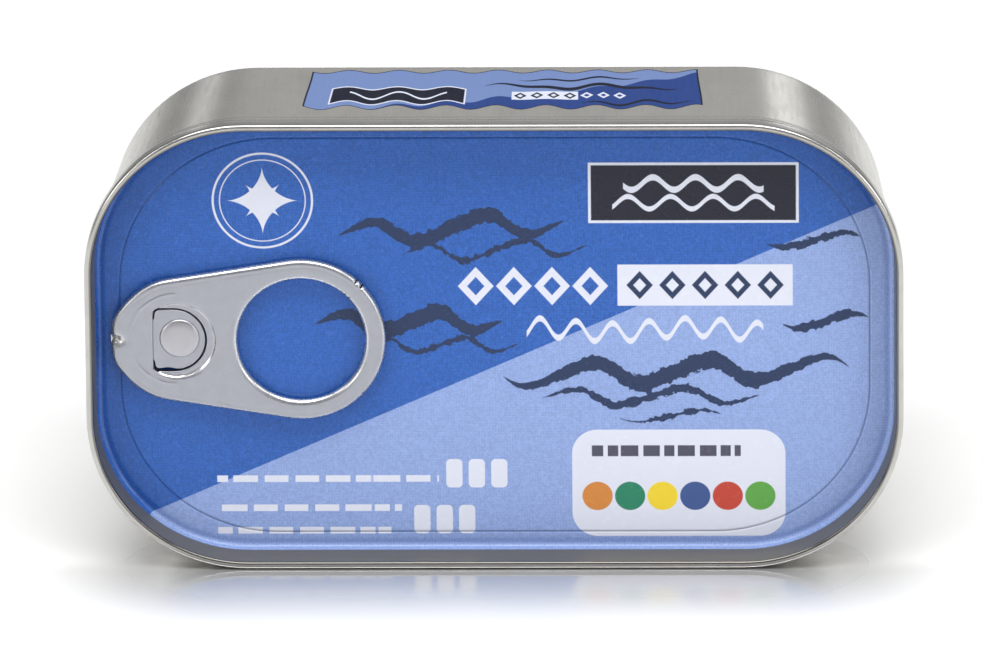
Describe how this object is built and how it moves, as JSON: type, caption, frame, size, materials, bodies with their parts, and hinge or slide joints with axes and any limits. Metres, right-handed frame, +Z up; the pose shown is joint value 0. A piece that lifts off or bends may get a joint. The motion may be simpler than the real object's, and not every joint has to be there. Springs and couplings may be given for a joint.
{
  "type": "tuna can",
  "caption": "Shallow round-cornered fish can with a printed ring-pull lid in a double seam, standing shut on its long side.",
  "frame": {"origin": "centre of the bounding box's footprint, on the surface that the can stands on", "axes": "+X along the can's length, +Y from the lid back to the closed end, +Z up; the can leans back about 5 degrees on its seam and its far edge"},
  "size_m": [0.105, 0.037, 0.0604],
  "materials": {
    "can_metal": "satin drawn metal with fine grain",
    "lid_print": "satin printed lacquer over metal, bare metal on the seam",
    "tab_metal": "satin stamped metal"
  },
  "bodies": {
    "root": {"can_body": "can_metal", "can_lid": "lid_print", "pull_tab": "tab_metal"}
  },
  "joints": []
}
